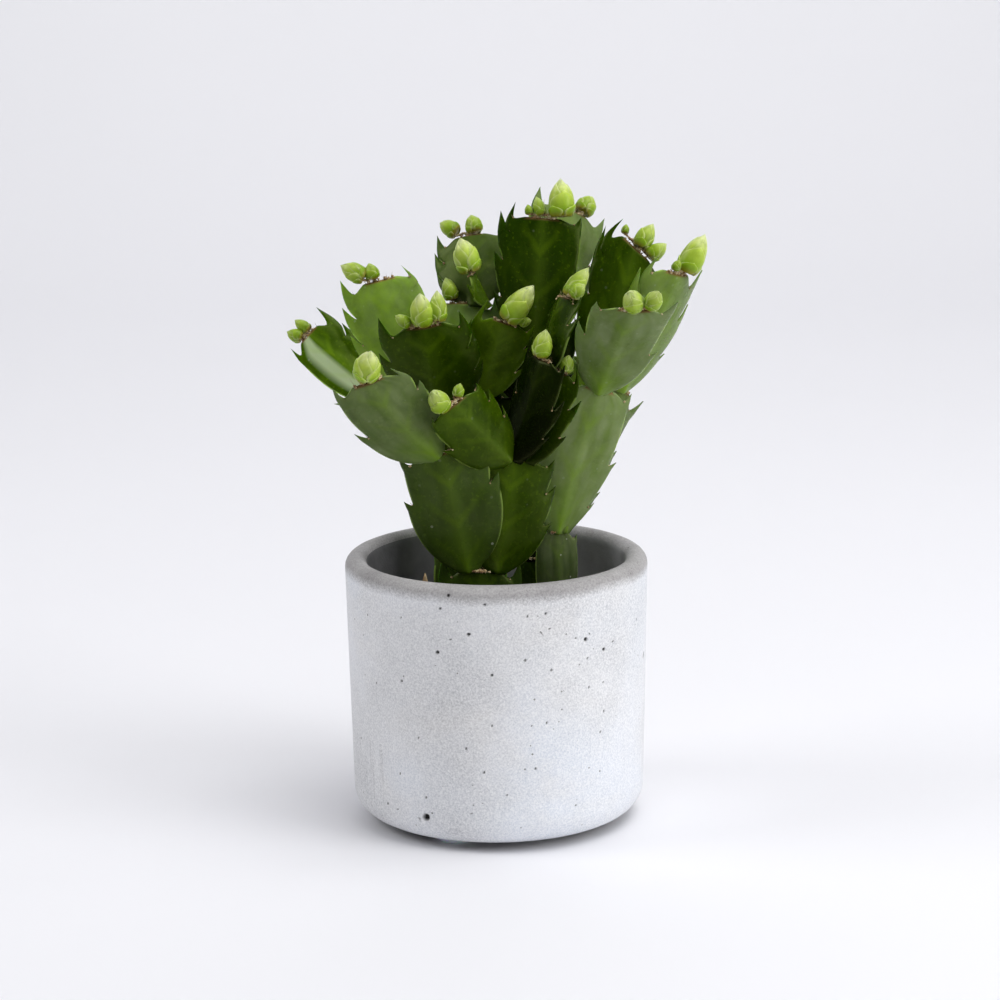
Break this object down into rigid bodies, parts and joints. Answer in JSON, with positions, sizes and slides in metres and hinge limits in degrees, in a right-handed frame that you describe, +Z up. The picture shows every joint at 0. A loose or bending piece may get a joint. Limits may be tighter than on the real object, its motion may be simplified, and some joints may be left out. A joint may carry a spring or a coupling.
{
  "type": "potted christmas cactus in bud",
  "caption": "Christmas cactus with flat toothed segments and green flower buds, growing in a round concrete pot on clear bumper feet.",
  "frame": {"origin": "on the pot's axis, at the surface that the bumper feet stand on", "axes": "+Z up along the pot's axis, -Y towards the side that most segments face, +X to the right as seen from there"},
  "size_m": [0.1107, 0.08, 0.1684],
  "materials": {
    "concrete": "matte cast concrete with small air holes, a darker smooth rim",
    "clear_silicone": "clear soft silicone",
    "peat": "loose dark peat",
    "green_segment": "waxy, soft sheen",
    "flower_bud": "waxy, soft sheen"
  },
  "bodies": {
    "root": {"pot": "concrete", "bumper_foot_1": "clear_silicone", "bumper_foot_2": "clear_silicone", "bumper_foot_3": "clear_silicone", "soil": "peat", "front_shoot": "green_segment", "right_shoot": "green_segment", "centre_shoot": "green_segment", "back_shoot": "green_segment", "buds_front_left_leaning": "flower_bud", "buds_front_low_middle": "flower_bud", "buds_front_upright": "flower_bud", "buds_front_right_leaning": "flower_bud", "buds_front_edge_on": "flower_bud", "buds_right_right_front": "flower_bud", "buds_right_far_right": "flower_bud", "buds_right_right_top": "flower_bud", "buds_centre_middle_left": "flower_bud", "buds_centre_middle_right": "flower_bud", "buds_centre_rear_middle": "flower_bud", "buds_centre_rear_left_top": "flower_bud", "buds_centre_small_edge_on": "flower_bud", "buds_centre_upper_left": "flower_bud", "buds_centre_far_left": "flower_bud", "buds_centre_crown": "flower_bud", "buds_centre_rear_crown": "flower_bud", "buds_back_back_left": "flower_bud", "buds_back_back_middle": "flower_bud", "buds_back_back_right": "flower_bud", "buds_back_back_top": "flower_bud"}
  },
  "joints": []
}
